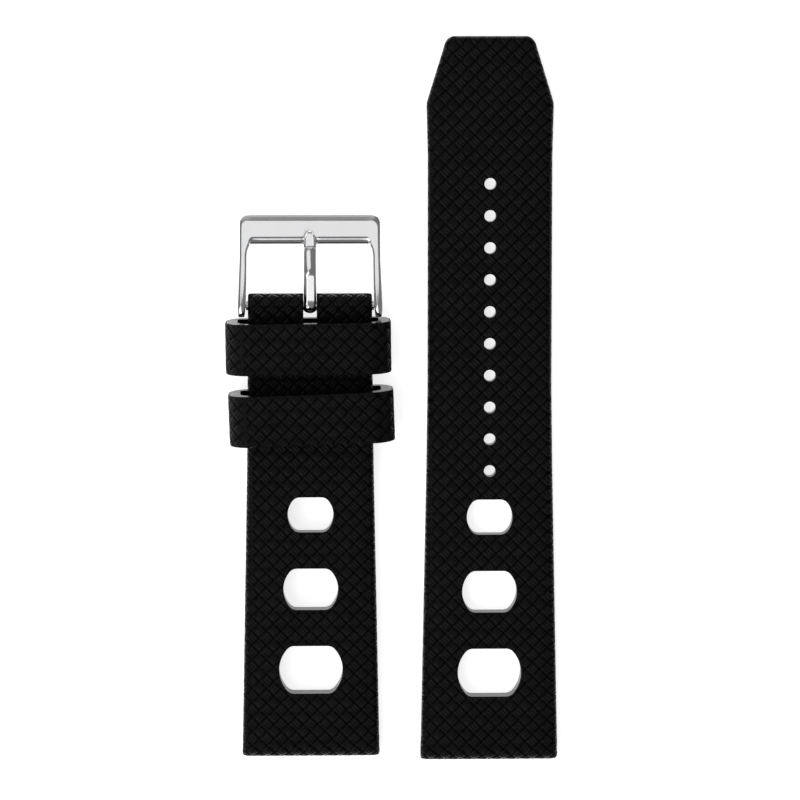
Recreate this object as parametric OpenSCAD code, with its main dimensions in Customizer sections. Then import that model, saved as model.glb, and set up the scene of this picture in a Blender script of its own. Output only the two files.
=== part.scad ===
// Two-piece moulded silicone watch strap with vent holes, two loose keepers and a steel tang buckle.
// The buckle half and the tail half lie face up, side by side, as when the strap is off the watch.
// Millimetres. X runs across the strap, Y along it towards the buckle, Z up out of the front face.
// The origin is the middle of the spring-bar bore at the watch end of the buckle half.

/* [Watch end] */
// Width of both halves at the watch
lug_w = 22; // [20:0.5:26]
// Thickness of both halves at the watch
lug_t = 4; // [3.4:0.1:5]
// Diameter of the bore for the watch's spring bar
lug_bore_d = 1.9; // [1.5:0.1:2.2]
// Radius of the corners seen from above at the watch end
lug_corner_r = 0.6; // [0.2:0.1:1.5]
// Distance from the bore to where the sides stop drawing in
taper_len = 44; // [40:1:48]
// Width where the sides stop drawing in
taper_w = 20.1; // [19.8:0.1:21]

/* [Buckle half] */
// Distance from the spring-bar bore to the buckle's pin
pin_dist = 70.6; // [68:0.2:80]
// Width at the buckle
buckle_end_w = 19.6; // [19:0.1:19.8]
// Thickness under the first keeper
strap_t = 2.6; // [2.2:0.1:3]
// Thickness of the knuckle round the buckle's pin
knuckle_t = 3.8; // [3.4:0.1:4.1]
// Length over which the strap thickens to the knuckle, up to its pin
knuckle_len = 4.5; // [3:0.25:6]
// Width of the slot for the tongue
slot_w = 2.1; // [2:0.05:2.6]
// Depth of the slot, from the buckle's pin
slot_depth = 5; // [4:0.2:7]

/* [Tail half] */
// Distance from the spring-bar bore to the tip
tail_len = 113.5; // [112:0.5:124]
// Width of the parallel tail
tail_w = 19.7; // [19:0.1:19.9]
// Thickness of the tail
tail_t = 2.4; // [2:0.1:2.8]
// Distance from the bore to the parallel tail
tail_start = 58; // [54:1:64]
// Width of the flared shoulders before the tip
shoulder_w = 20.1; // [19.9:0.1:20.4]
// Radius of the flared shoulders
shoulder_r = 4; // [2:0.5:6]
// Length of the flare that leads to the shoulders
flare_len = 8; // [5:0.5:12]
// Length of the slanted tip
tip_len = 10.5; // [8:0.5:14]
// Width of the tip's flat end
tip_w = 13.6; // [11:0.1:16]
// Radius of the tip's two corners
tip_corner_r = 1.6; // [0.8:0.1:2.4]
// Distance between the centre lines of the two halves as they lie
halves_gap_x = 28.5; // [27.5:0.5:40]
// How far the tail half lies back from the buckle half
halves_gap_y = 0.7; // [0:0.1:3]

/* [Vent holes] */
// Width of the largest vent hole
vent_w = 10.2; // [9:0.1:11]
// Length of the largest vent hole
vent_h = 7.9; // [7:0.1:8.5]
// How much narrower each next vent hole is
vent_w_step = 1.45; // [1:0.05:1.6]
// How much shorter each next vent hole is
vent_h_step = 1.05; // [0.8:0.05:1.2]
// Radius where a vent hole's round sides meet its flats
vent_corner_r = 1.5; // [1:0.1:1.8]
// Distance from the spring-bar bore to the first vent hole
vent_edge = 8.3; // [7:0.05:9]
// Silicone left between two vent holes
vent_web = 5.65; // [5:0.05:6.2]

/* [Adjustment holes] */
// Number of adjustment holes
hole_count = 10; // [6:1:10]
// Diameter of an adjustment hole
hole_d = 2; // [1.9:0.05:2.4]
// Distance between two adjustment holes
hole_pitch = 5.07; // [4.6:0.01:5.2]
// Distance from the tip to the first adjustment hole
hole_from_tip = 23.2; // [18:0.1:25]

/* [Keepers] */
// Length of a keeper along the strap
keeper_len = 8.1; // [6:0.1:9]
// Thickness of a keeper's two side walls
keeper_side_t = 1.95; // [1.4:0.05:2.4]
// Thickness of a keeper's top and bottom walls
keeper_wall_t = 1.7; // [1.3:0.1:2.2]
// Room beside the widest strap in a keeper, on each side
keeper_side_gap = 0.1; // [0.05:0.05:0.4]
// Height in a keeper for the two straps and their play
keeper_gap_h = 5.9; // [5.6:0.1:6.6]
// Radius of a keeper's outer corners
keeper_outer_r = 3.2; // [2:0.1:4]
// Radius of a keeper's inner corners above the strap
keeper_inner_r = 2.2; // [1:0.1:2.6]
// Radius of a keeper's inner corners beside the strap's back
keeper_foot_r = 0.5; // [0.3:0.05:0.6]
// Room between the back of the strap and a keeper's bottom wall
keeper_floor_gap = 0.15; // [0.1:0.05:0.5]
// Distance between the first keeper and the buckle's pin
keeper_pin_gap = 2.15; // [2.1:0.05:3]
// Free space between the two keepers
keeper_spacing = 3; // [2.8:0.1:5]
// How far the first keeper lies off the middle
keeper_fixed_shift = -0.28; // [-0.4:0.02:0.4]
// How far the second keeper lies off the middle
keeper_free_shift = 0.2; // [-0.4:0.02:0.4]
// How far the first keeper is turned on the strap, in degrees
keeper_fixed_turn = 0.7; // [-1:0.1:1]
// How far the second keeper is turned on the strap, in degrees
keeper_free_turn = 2; // [-2:0.1:2]

/* [Buckle] */
// Width of the frame at its bar
frame_w = 22.2; // [21.8:0.1:22.4]
// Width of the frame at its pin
frame_pin_w = 22.8; // [22.4:0.1:24]
// Width of a leg where it meets the bar
leg_w = 0.92; // [0.8:0.02:1.2]
// Width of a leg at the pin
leg_end_w = 1.22; // [1.1:0.02:1.6]
// Room between the knuckle and a leg of the frame
leg_gap = 0.4; // [0.2:0.02:0.5]
// Height of a leg's round end at the pin
leg_end_h = 3.6; // [3:0.1:3.8]
// Distance from the pin to the far edge of the bar
frame_reach = 14.5; // [13:0.1:16]
// Depth of the bar seen from above
bar_depth = 4.9; // [3.6:0.1:5.4]
// Thickness of the bar
bar_t = 1.9; // [1.6:0.1:2.2]
// Slope of the bar's top face in degrees
bar_tilt = 16; // [8:1:20]
// Radius of the frame's outer corners seen from above
frame_corner_r = 1.3; // [0.8:0.1:2]
// Radius of the frame's inner corners seen from above
frame_inner_r = 0.9; // [0.5:0.1:1.5]
// Depth of the dished notch that the tongue rests in
notch_depth = 0.2; // [0.1:0.05:0.4]
// Width of the tongue
tongue_w = 1.84; // [1.6:0.02:1.9]
// Thickness of the tongue
tongue_t = 1; // [0.8:0.05:1.2]
// Distance from the tongue's tip to the far edge of the bar
tongue_setback = 2.5; // [2:0.1:3]
// Distance from the pin to the tongue's highest point
tongue_crown_dist = 5; // [4:0.2:6]
// How much higher the tongue's highest point is than its loop
tongue_crown_rise = 0.8; // [0.1:0.1:1.2]

/* [Buckle spring bar] */
// Diameter of the spring bar's tube
tube_d = 1.5; // [1.4:0.05:1.6]
// Diameter of the tube's bore
tube_bore_d = 1; // [0.9:0.05:1.1]
// Diameter of a plunger's tip
pin_tip_d = 0.8; // [0.7:0.05:0.85]
// Length of a plunger's tip inside the frame's leg
pin_tip_len = 0.85; // [0.6:0.05:0.9]
// How far a plunger can be pushed in
pin_travel = 1; // [0.95:0.05:1.2]
// Thickness of a plunger's collar
collar_t = 0.35; // [0.3:0.05:0.45]
// Length of a plunger's rod inside the tube
rod_len = 3; // [2:0.1:4]
// Diameter of the coil spring's wire
wire_d = 0.14; // [0.1:0.01:0.16]
// Number of the coil spring's turns
spring_turns = 14; // [10:1:16]

/* [Hidden] */

$fn = 64;
run_gap = 0.05;      // radial clearance of what turns or slides on a pin
cut_h = 10 * lug_t;  // height of the cutters that pass through a whole strap
overrun = 1;         // how far a cutter or a plan view runs past what it cuts
vent_count = 3;
arc_steps = 8;       // steps in a rounded corner of an outline
nose_steps = 16;     // steps in a round nose
vent_steps = 4;      // steps in a vent hole's corner
end_corner_r = 0.5;  // outline corners at the knuckle

lug_r = lug_t / 2;
floor_z = -lug_r;

// The keepers lie on the floor, so the strap's back climbs over their bottom walls
keeper_w = lug_w + 2 * (keeper_side_gap + keeper_side_t);
keeper_h = keeper_gap_h + 2 * keeper_wall_t;
keeper_fixed_y = pin_dist - keeper_pin_gap - keeper_len / 2;
keeper_free_y = keeper_fixed_y - keeper_len - keeper_spacing;
back_slope = (keeper_wall_t + keeper_floor_gap) / (keeper_free_y - keeper_len / 2);
thin_slope = (lug_t - strap_t) / keeper_fixed_y;

function back_z(y) = floor_z + back_slope * y;
function front_z(y) = back_z(y) + lug_t - thin_slope * y;

// The buckle's pin runs through the middle of the strap's thickness
pin_z = (back_z(pin_dist) + front_z(pin_dist)) / 2;
leg_inner_x = frame_pin_w / 2 - leg_end_w;
knuckle_w = 2 * (leg_inner_x - leg_gap);
knuckle_r = knuckle_t / 2;
knuckle_end = pin_dist + knuckle_r;
knuckle_start = pin_dist - knuckle_len;
knuckle_bore_r = tube_d / 2 + run_gap;

// Frame: the legs sink from the pin to the bar, and the bar's far edge lies on the floor
leg_end_r = leg_end_h / 2;
leg_steps = 8;
frame_end = pin_dist + frame_reach;
bar_inner_y = frame_end - bar_depth;
bar_mid_y = frame_end - bar_depth / 2;
bar_half_h = bar_t / 2 / cos(bar_tilt);
bar_top_r = 0.9;
bar_foot_r = 0.5;
bar_mid_z = floor_z + bar_half_h + (bar_depth / 2 - bar_foot_r) * tan(bar_tilt);
leg_run = bar_mid_y - pin_dist;
leg_drop = pin_z - bar_mid_z;
leg_bow = tan(bar_tilt) * leg_run / leg_drop;
notch_r = 3;
notch_len = 4;       // length of the notch, half of it in front of the bar

function leg_z(s) = pin_z - leg_drop * pow(s, leg_bow);
function leg_half_h(s) = bar_half_h + (leg_end_r - bar_half_h) * pow(1 - s, 2);
function bar_top(y) = bar_mid_z + bar_half_h - (y - bar_mid_y) * tan(bar_tilt);

// Tongue: rolled round the tube, with its tip resting on the bar
tongue_loop_t = 0.45;
tongue_loop_r = knuckle_bore_r + tongue_loop_t;
tongue_tip_y = frame_end - tongue_setback;
tongue_tip_h = 0.45;
tongue_rest_gap = 0.05;
tongue_neck_angle = 62;  // where the tongue's back leaves its loop
tongue_crown_y = pin_dist + tongue_crown_dist;
tongue_crown_z = pin_z + tongue_loop_r + tongue_crown_rise;
tongue_crown_r = 4;
tongue_belly_r = 3;
tongue_bend_y = bar_inner_y - 0.4;
tongue_bend_r = 2;

// Spring bar, from its middle outwards
collar_gap = 0.1;
collar_x = leg_inner_x - collar_gap - collar_t;
tube_half = collar_x - pin_travel - run_gap;
rod_r = tube_bore_d / 2 - run_gap;
rod_inner_x = tube_half - rod_len;
tip_end_x = leg_inner_x + pin_tip_len;
tip_gap = 0.1;
tip_hole_end_x = tip_end_x + tip_gap;
spring_r = rod_r - wire_d / 2;
spring_end_gap = 0.02;
spring_half = rod_inner_x - wire_d / 2 - spring_end_gap;
spring_ring_steps = 8;
spring_sides = 6;

// Round stretch of an outline: the corner at b between a and c, rounded to radius r
function unit(v) = v / norm(v);
function turn(u, v) = u[0] * v[1] - u[1] * v[0] > 0 ? 1 : -1;
function corner_arc(a, b, c, r) =
    let (
        u = unit([a[0] - b[0], a[1] - b[1]]),
        v = unit([c[0] - b[0], c[1] - b[1]]),
        half = acos(u * v) / 2,
        centre = [b[0], b[1]] + unit(u + v) * r / sin(half),
        start = [b[0], b[1]] + u * r / tan(half) - centre,
        angle = atan2(start[1], start[0]),
        sweep = turn(u, v) * (2 * half - 180)
    )
    [for (i = [0 : arc_steps]) centre + r * [
        cos(angle + sweep * i / arc_steps),
        sin(angle + sweep * i / arc_steps)
    ]];

// Points on a circle from angle a0 to angle a1
function arc(centre, r, a0, a1, steps = nose_steps) =
    [for (i = [0 : steps])
        let (a = a0 + (a1 - a0) * i / steps)
        centre + r * [cos(a), sin(a)]
    ];

// Outline through points [x, y, corner radius]; a radius of 0 keeps the corner sharp
function rounded(points) =
    let (n = len(points))
    [for (i = [0 : n - 1])
        each points[i][2] == 0
            ? [[points[i][0], points[i][1]]]
            : corner_arc(points[(i + n - 1) % n], points[i], points[(i + 1) % n], points[i][2])
    ];

// The same outline on the other side of the centre line, in the order that closes it
function mirrored(points) =
    [for (i = [len(points) - 1 : -1 : 0]) [-points[i][0], points[i][1], points[i][2]]];

// A side view drawn in Y and Z, extruded to a slab that is centred on X
module slab(width) {
    rotate([90, 0, 90]) linear_extrude(width, center = true) children();
}

// A plan view drawn in X and Y, extruded to a tall block
module tall() {
    translate([0, 0, -cut_h / 2]) linear_extrude(cut_h) children();
}

// A round bar along X, from x0 to x1, on the buckle's pin axis
module pin_bar(x0, x1, r) {
    translate([x0, pin_dist, pin_z]) rotate([0, 90, 0]) cylinder(h = x1 - x0, r = r);
}

// The bore for the watch's spring bar
module lug_bore() {
    rotate([0, 90, 0]) cylinder(h = 2 * lug_w, d = lug_bore_d, center = true);
}

// Upper half of a vent hole's outline: a circle of width w, cut flat at height h, with rounded corners
function vent_half(w, h) =
    let (
        corner_y = h / 2 - vent_corner_r,
        corner_x = sqrt(pow(w / 2 - vent_corner_r, 2) - pow(corner_y, 2)),
        turn_at = atan2(corner_y, corner_x)
    )
    concat(
        arc([0, 0], w / 2, 0, turn_at, arc_steps),
        arc([corner_x, corner_y], vent_corner_r, turn_at, 90, vent_steps),
        arc([-corner_x, corner_y], vent_corner_r, 90, 180 - turn_at, vent_steps),
        arc([0, 0], w / 2, 180 - turn_at, 180, arc_steps)
    );

// Vent holes, smaller from one to the next
module vents() {
    for (i = [0 : vent_count - 1]) {
        h = vent_h - i * vent_h_step;
        low_edge = vent_edge + i * (vent_h + vent_web) - vent_h_step * i * (i - 1) / 2;
        half = vent_half(vent_w - i * vent_w_step, h);
        translate([0, low_edge + h / 2]) polygon(concat(half, [for (p = half) -p]));
    }
}

// Buckle half seen from the side: round nose, thinning strap, thick knuckle
module short_side() {
    nose = arc([0, 0], lug_r, 270, 90);
    knuckle = arc([pin_dist, pin_z], knuckle_r, 90, -90);
    front = [[knuckle_start, front_z(knuckle_start)]];
    back = [[knuckle_start, back_z(knuckle_start)]];
    polygon(concat(nose, front, knuckle, back));
}

// Buckle half seen from above
module short_plan() {
    side = [
        [lug_w / 2, -lug_r, lug_corner_r],
        [taper_w / 2, taper_len, 0],
        [buckle_end_w / 2, knuckle_start, 0],
        [knuckle_w / 2, knuckle_end, end_corner_r]
    ];
    polygon(rounded(concat(side, mirrored(side))));
}

// Slot that splits the knuckle for the tongue
module tongue_slot() {
    slot_r = slot_w / 2;
    slot_end = knuckle_end + slot_w;
    polygon(concat(
        arc([0, pin_dist - slot_depth + slot_r], slot_r, 180, 360),
        [[slot_r, slot_end], [-slot_r, slot_end]]
    ));
}

module short_strap() {
    color("#141414") difference() {
        intersection() {
            slab(2 * lug_w) short_side();
            tall() short_plan();
        }
        lug_bore();
        pin_bar(-lug_w, lug_w, knuckle_bore_r);
        tall() vents();
        tall() tongue_slot();
    }
}

// Tail half seen from the side: round nose, flat back, thinning front
module long_side() {
    tail_z = floor_z + tail_t;
    polygon(concat(
        arc([0, 0], lug_r, 270, 90),
        [[tail_start, tail_z], [tail_len, tail_z], [tail_len, floor_z]]
    ));
}

// Tail half seen from above
module long_plan() {
    shoulder_y = tail_len - tip_len;
    side = [
        [lug_w / 2, -lug_r, lug_corner_r],
        [taper_w / 2, taper_len, 0],
        [tail_w / 2, tail_start, 0],
        [tail_w / 2, shoulder_y - flare_len, 0],
        [shoulder_w / 2, shoulder_y, shoulder_r],
        [tip_w / 2, tail_len, tip_corner_r]
    ];
    polygon(rounded(concat(side, mirrored(side))));
}

module adjustment_holes() {
    for (i = [0 : hole_count - 1])
        translate([0, tail_len - hole_from_tip - i * hole_pitch, -cut_h / 2])
            cylinder(h = cut_h, d = hole_d);
}

module long_strap() {
    color("#141414") translate([halves_gap_x, -halves_gap_y, 0]) difference() {
        intersection() {
            slab(2 * lug_w) long_side();
            tall() long_plan();
        }
        lug_bore();
        tall() vents();
        adjustment_holes();
    }
}

// A keeper seen along the strap, with its foot on the X axis
module keeper_ring() {
    side_x = keeper_w / 2;
    inner_x = side_x - keeper_side_t;
    inner_top = keeper_wall_t + keeper_gap_h;
    outer = [[side_x, 0, keeper_outer_r], [side_x, keeper_h, keeper_outer_r]];
    inner = [[inner_x, keeper_wall_t, keeper_foot_r], [inner_x, inner_top, keeper_inner_r]];
    difference() {
        polygon(rounded(concat(outer, mirrored(outer))));
        polygon(rounded(concat(inner, mirrored(inner))));
    }
}

// A keeper: one moulded loop round the strap, with one edge of its foot on the floor
module keeper(y, shift, turned) {
    color("#1c1c1c") translate([shift, y, floor_z]) rotate([0, 0, turned])
        translate([0, -keeper_len / 2, 0]) rotate([90 + atan(back_slope), 0, 0])
            translate([0, 0, -keeper_len]) linear_extrude(keeper_len) keeper_ring();
}

module keeper_fixed() {
    keeper(keeper_fixed_y, keeper_fixed_shift, keeper_fixed_turn);
}

module keeper_free() {
    keeper(keeper_free_y, keeper_free_shift, keeper_free_turn);
}

// Frame seen from the side: round leg ends, legs that bow down, rounded bar
module frame_side() {
    top = [for (i = [1 : leg_steps])
        let (s = i / leg_steps) [pin_dist + s * leg_run, leg_z(s) + leg_half_h(s), 0]];
    foot = [for (i = [leg_steps : -1 : 1])
        let (s = i / leg_steps) [pin_dist + s * leg_run, leg_z(s) - leg_half_h(s), 0]];
    far_end = [
        [frame_end, bar_top(frame_end), bar_top_r],
        [frame_end, bar_top(frame_end) - 2 * bar_half_h, bar_foot_r]
    ];
    leg_end = arc([pin_dist, pin_z], leg_end_r, 270, 90);
    polygon(concat(leg_end, rounded(concat(top, far_end, foot))));
}

// Frame seen from above: two legs and a bar
module frame_plan() {
    legs_end = pin_dist - leg_end_r - overrun;
    outer = [
        [frame_pin_w / 2, legs_end, 0],
        [frame_pin_w / 2, pin_dist, 0],
        [frame_w / 2, bar_inner_y, 0],
        [frame_w / 2, frame_end, frame_corner_r]
    ];
    inner = [
        [frame_w / 2 - leg_w, bar_inner_y, frame_inner_r],
        [leg_inner_x, pin_dist, 0],
        [leg_inner_x, legs_end, 0]
    ];
    polygon(rounded(concat(outer, mirrored(outer), mirrored(inner), inner)));
}

module buckle_frame() {
    color("#d8d8d8") difference() {
        intersection() {
            slab(2 * frame_pin_w) frame_side();
            tall() frame_plan();
        }
        pin_bar(-tip_hole_end_x, tip_hole_end_x, pin_tip_d / 2 + run_gap);
        translate([0, bar_inner_y, bar_top(bar_inner_y) + notch_r - notch_depth])
            rotate([90 - bar_tilt, 0, 0]) cylinder(h = notch_len, r = notch_r, center = true);
    }
}

// Tongue seen from the side: loop, raised back and bevelled tip
module tongue_side() {
    back = [
        [tongue_crown_y, tongue_crown_z, tongue_crown_r],
        [tongue_bend_y, bar_top(bar_inner_y) + tongue_t, tongue_bend_r],
        [tongue_tip_y, bar_top(tongue_tip_y) + tongue_tip_h, 0]
    ];
    belly = [
        [tongue_tip_y, bar_top(tongue_tip_y) + tongue_rest_gap, 0],
        [bar_inner_y, bar_top(bar_inner_y) + tongue_rest_gap, 0],
        [tongue_crown_y, tongue_crown_z - tongue_t, tongue_belly_r]
    ];
    loop = [for (p = arc([pin_dist, pin_z], tongue_loop_r, 360, tongue_neck_angle)) [p[0], p[1], 0]];
    polygon(rounded(concat(back, belly, loop)));
}

// Tongue seen from above, with its round tip
module tongue_plan() {
    tip_r = tongue_w / 2;
    loop_end = pin_dist - 2 * tongue_loop_r;
    polygon(concat(
        arc([0, tongue_tip_y - tip_r], tip_r, 180, 0),
        [[tip_r, loop_end], [-tip_r, loop_end]]
    ));
}

module buckle_tongue() {
    color("#e0e0e0") difference() {
        intersection() {
            slab(2 * tongue_w) tongue_side();
            tall() tongue_plan();
        }
        pin_bar(-tongue_w, tongue_w, knuckle_bore_r);
    }
}

module bar_tube() {
    color("#b0b0b0") difference() {
        pin_bar(-tube_half, tube_half, tube_d / 2);
        pin_bar(-tube_half - overrun, tube_half + overrun, tube_bore_d / 2);
    }
}

// Right-hand plunger: rod in the tube, collar, and tip in the frame's leg
module bar_pin() {
    color("#b8b8b8") {
        pin_bar(rod_inner_x, collar_x, rod_r);
        pin_bar(collar_x, collar_x + collar_t, tube_d / 2);
        pin_bar(collar_x + collar_t, tip_end_x, pin_tip_d / 2);
    }
}

module bar_pin_left() {
    mirror([1, 0, 0]) bar_pin();
}

module bar_pin_right() {
    bar_pin();
}

// Coil spring: one tube swept along a helix between the two plungers
module bar_spring() {
    rings = spring_turns * spring_ring_steps;
    wire_r = wire_d / 2;
    points = [for (i = [0 : rings])
        let (x = -spring_half + 2 * spring_half * i / rings, a = 360 * i / spring_ring_steps)
        for (k = [0 : spring_sides - 1])
            let (b = 360 * k / spring_sides, out = spring_r + wire_r * cos(b))
            [x + wire_r * sin(b), out * cos(a), out * sin(a)]
    ];
    sides = [for (i = [0 : rings - 1])
        for (k = [0 : spring_sides - 1])
            let (p = i * spring_sides + k, q = i * spring_sides + (k + 1) % spring_sides)
            each [[p, q, q + spring_sides], [p, q + spring_sides, p + spring_sides]]
    ];
    start = [for (k = [1 : spring_sides - 2]) [0, k + 1, k]];
    last = rings * spring_sides;
    finish = [for (k = [1 : spring_sides - 2]) [last, last + k, last + k + 1]];
    color("#a0a0a0") translate([0, pin_dist, pin_z]) polyhedron(points, concat(sides, start, finish));
}

short_strap();
long_strap();
keeper_fixed();
keeper_free();
buckle_frame();
buckle_tongue();
bar_tube();
bar_pin_left();
bar_pin_right();
bar_spring();
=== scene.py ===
import bpy
import bmesh
from math import atan, cos, degrees, floor, pi, radians, sin, sqrt, tan
from mathutils import Matrix, Vector
from mathutils.kdtree import KDTree


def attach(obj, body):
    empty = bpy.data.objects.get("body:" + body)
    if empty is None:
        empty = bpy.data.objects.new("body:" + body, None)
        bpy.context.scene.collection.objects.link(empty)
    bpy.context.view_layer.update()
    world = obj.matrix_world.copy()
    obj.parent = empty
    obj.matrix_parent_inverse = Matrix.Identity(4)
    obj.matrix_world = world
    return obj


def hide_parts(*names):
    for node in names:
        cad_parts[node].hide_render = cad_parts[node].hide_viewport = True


# A two-piece silicone watch strap, off the watch and lying face up, with its two keepers and its
# steel tang buckle. Sizes are in millimetres and each finished mesh is scaled to metres at its end.
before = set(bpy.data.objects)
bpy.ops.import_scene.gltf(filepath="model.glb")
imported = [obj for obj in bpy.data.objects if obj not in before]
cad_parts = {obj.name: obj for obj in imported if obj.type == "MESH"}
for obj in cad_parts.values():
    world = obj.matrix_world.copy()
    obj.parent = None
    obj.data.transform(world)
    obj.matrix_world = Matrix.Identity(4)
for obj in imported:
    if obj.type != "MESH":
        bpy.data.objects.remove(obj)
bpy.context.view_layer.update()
scene = bpy.context.scene


# Buckle half of the strap.
# One moulding of black silicone rubber, with a basket weave pressed into its front and its nose.
# Cores in the mould form three vents, the slotted knuckle and a bore for a spring bar at each end.
lug_r = 2
lug_half = 11
lug_bore_r = 0.95
lug_corner_r = 0.6
taper_y = 44
taper_half = 10.05
knuckle_half = 9.78
buckle_end_half = 9.8
knuckle_start = 66.1
knuckle_corner_r = 0.5
pin = Vector((0, 70.6, 1.8846))
knuckle_r = 1.9
knuckle_bore_r = 0.8
slot_r = 1.05
slot_end = 65.15
back_slope = 0.037563       # the back climbs over the keepers' feet
front_slope = 0.015824
vent_corner_r = 1.5
vents = ((12.3, 10.1, 7.7), (25.325, 8.7, 6.65), (37.3, 7.25, 5.6))     # distance, width, height

weave_square = 1.65         # edge of one square of the weave, three ribs wide
weave_lines = (0, 0.215, 0.3575, 0.5, 0.6425, 0.785)    # groove, crest, valley, crest and so on
weave_steps = len(weave_lines)
square_groove = 0.15        # depth of the groove between two squares
rib_groove = 0.07           # depth of the groove between two ribs
weave_crease = 20           # an edge that turns by more degrees than this shows as an edge
front_tilt = 0.35           # faces whose normal rises less than this are off the woven front
crown = 0.45                # fall of the front at a strap's edge, from its flat middle
crown_fade = 3              # where the crown dies out towards an end that's rolled shut
outer_edge_r = 0.9
opening_edge_r = 0.25
back_edge_r = 0.3
opening_reach = 5.6         # openings lie nearer to the middle than this
sheet_margin = 1            # the woven sheet starts out this much too large
sheet_t = 1                 # and this thick, before its front and back are moved to their places
wall_cuts = 2
merge_gap = 0.004
millimetre = 0.001
nose_line = -pi / 2 * lug_r                     # front and back meet here, along the sheet
knuckle_line = pin.y + pi / 2 * knuckle_r       # and here
closing_fade = 0.5          # the weave dies out this near to such a line
side_fade = 0.3             # and this near to a side or an opening


def wired(name):
    """A new material's node tree, its shader and a maker of nodes."""
    material = bpy.data.materials.new(name)
    material.use_nodes = True
    tree = material.node_tree

    def node(kind, links=(), **settings):
        made = tree.nodes.new("ShaderNode" + kind)
        for key, value in settings.items():
            if hasattr(made, key):
                setattr(made, key, value)
            else:
                made.inputs[key].default_value = value
        for socket, source in links:
            tree.links.new(source, made.inputs[socket])
        return made

    return material, tree, tree.nodes["Principled BSDF"], node


def moulded_silicone(name, groove, dark, pale, shine, smooth, rough, grain):
    """Silicone whose colour and roughness drift, with painted shade in the grooves, and a fine
    grain.
    """
    material, tree, shader, node = wired(name)
    place = node("TexCoord").outputs["Object"]
    drift = node("TexNoise", [("Vector", place)], Scale=260, Detail=6, Roughness=0.6)
    colour = node("ValToRGB", [("Fac", drift.outputs["Fac"])])
    colour.color_ramp.elements[0].position = 0.35
    colour.color_ramp.elements[0].color = (dark, dark, dark * 1.03, 1)
    colour.color_ramp.elements[1].position = 0.7
    colour.color_ramp.elements[1].color = (pale, pale, pale * 1.05, 1)
    # Painted shade: the groove attribute, the weave's depth as a share, mixes the colour towards
    # the groove colour, darkest between squares and lighter between ribs.
    painted_shade_mask = node("Attribute", attribute_name="groove")
    shade = node("MixRGB", [("Fac", painted_shade_mask.outputs["Fac"]), ("Color1", colour.outputs["Color"])])
    shade.inputs["Color2"].default_value = (groove, groove, groove, 1)
    tree.links.new(shade.outputs["Color"], shader.inputs["Base Color"])
    wear = node("TexNoise", [("Vector", place)], Scale=900, Detail=4)
    gloss = node("MapRange", [("Value", wear.outputs["Fac"])])
    gloss.inputs["To Min"].default_value = smooth
    gloss.inputs["To Max"].default_value = rough
    tree.links.new(gloss.outputs["Result"], shader.inputs["Roughness"])
    fine = node("TexNoise", [("Vector", place)], Scale=14000, Detail=2)
    bump = node("Bump", [("Height", fine.outputs["Fac"])], Strength=grain, Distance=0.00002)
    tree.links.new(bump.outputs["Normal"], shader.inputs["Normal"])
    shader.inputs["Specular IOR Level"].default_value = shine
    return material


# The mould leaves a fine matt grain on the woven front, and its cores leave a smoother finish in
# the openings and on the back.
# In both, the groove colour is painted shade, mixed in where the weave is deep.
woven_silicone = moulded_silicone(
    "woven silicone", groove=0.0003, dark=0.0062, pale=0.0095, shine=0.06,
    smooth=0.3, rough=0.42, grain=0.5
)
smooth_silicone = moulded_silicone(
    "smooth silicone", groove=0.001, dark=0.001, pale=0.002, shine=0.2,
    smooth=0.2, rough=0.3, grain=0.25
)


def arc(x, y, r, start, end, steps=10):
    """Points on a circle, from one angle to another, in degrees."""
    angles = [radians(start + (end - start) * i / steps) for i in range(steps + 1)]
    return [(x + r * cos(a), y + r * sin(a)) for a in angles]


def rounded(corners, steps=8):
    """Outline through corners (x, y, r), each rounded to its radius or left sharp at 0."""
    points = []
    for i, (x, y, r) in enumerate(corners):
        corner = Vector((x, y))
        back = (Vector(corners[i - 1][:2]) - corner).normalized()
        ahead = (Vector(corners[(i + 1) % len(corners)][:2]) - corner).normalized()
        if r == 0:
            points.append(corner)
            continue
        half = back.angle(ahead) / 2
        centre = corner + (back + ahead).normalized() * r / sin(half)
        start = corner + back * r / tan(half) - centre
        sweep = (2 * half - pi) if back.cross(ahead) > 0 else (pi - 2 * half)
        points += [centre + Matrix.Rotation(sweep * k / steps, 2) @ start for k in range(steps + 1)]
    return [tuple(p) for p in points]


def both_sides(corners):
    """The right-hand corners, then the same on the left in the order that closes the outline."""
    return corners + [(-x, y, r) for x, y, r in reversed(corners)]


def vent_outline(y, width, height):
    """A circle cut flat at its top and bottom, with rounded corners."""
    up = height / 2 - vent_corner_r
    out = sqrt((width / 2 - vent_corner_r) ** 2 - up ** 2)
    turn = degrees(atan(up / out))
    half = arc(0, y, width / 2, 0, turn, 8)
    half += arc(out, y + up, vent_corner_r, turn, 90, 6)[1:]
    half += arc(-out, y + up, vent_corner_r, 90, 180 - turn, 6)
    half += arc(0, y, width / 2, 180 - turn, 180, 8)[1:]
    return half + [(-px, 2 * y - py) for px, py in half[1:-1]]


def prism(outlines, low, high):
    """Upright blocks with the given outlines, as one mesh."""
    bm = bmesh.new()
    for outline in outlines:
        face = bm.faces.new([bm.verts.new((x, y, low)) for x, y in outline])
        raised = bmesh.ops.extrude_face_region(bm, geom=[face], use_keep_orig=True)["geom"]
        top = [v for v in raised if isinstance(v, bmesh.types.BMVert)]
        bmesh.ops.translate(bm, vec=(0, 0, high - low), verts=top)
    bmesh.ops.recalc_face_normals(bm, faces=bm.faces)
    return bm


def rod(centre, radius, length, segments=48):
    """A solid rod along X."""
    bm = bmesh.new()
    bmesh.ops.create_cone(
        bm, cap_ends=True, segments=segments, radius1=radius, radius2=radius, depth=length
    )
    bmesh.ops.rotate(bm, matrix=Matrix.Rotation(pi / 2, 3, "Y"), verts=bm.verts)
    bmesh.ops.translate(bm, vec=centre, verts=bm.verts)
    return bm


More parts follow.
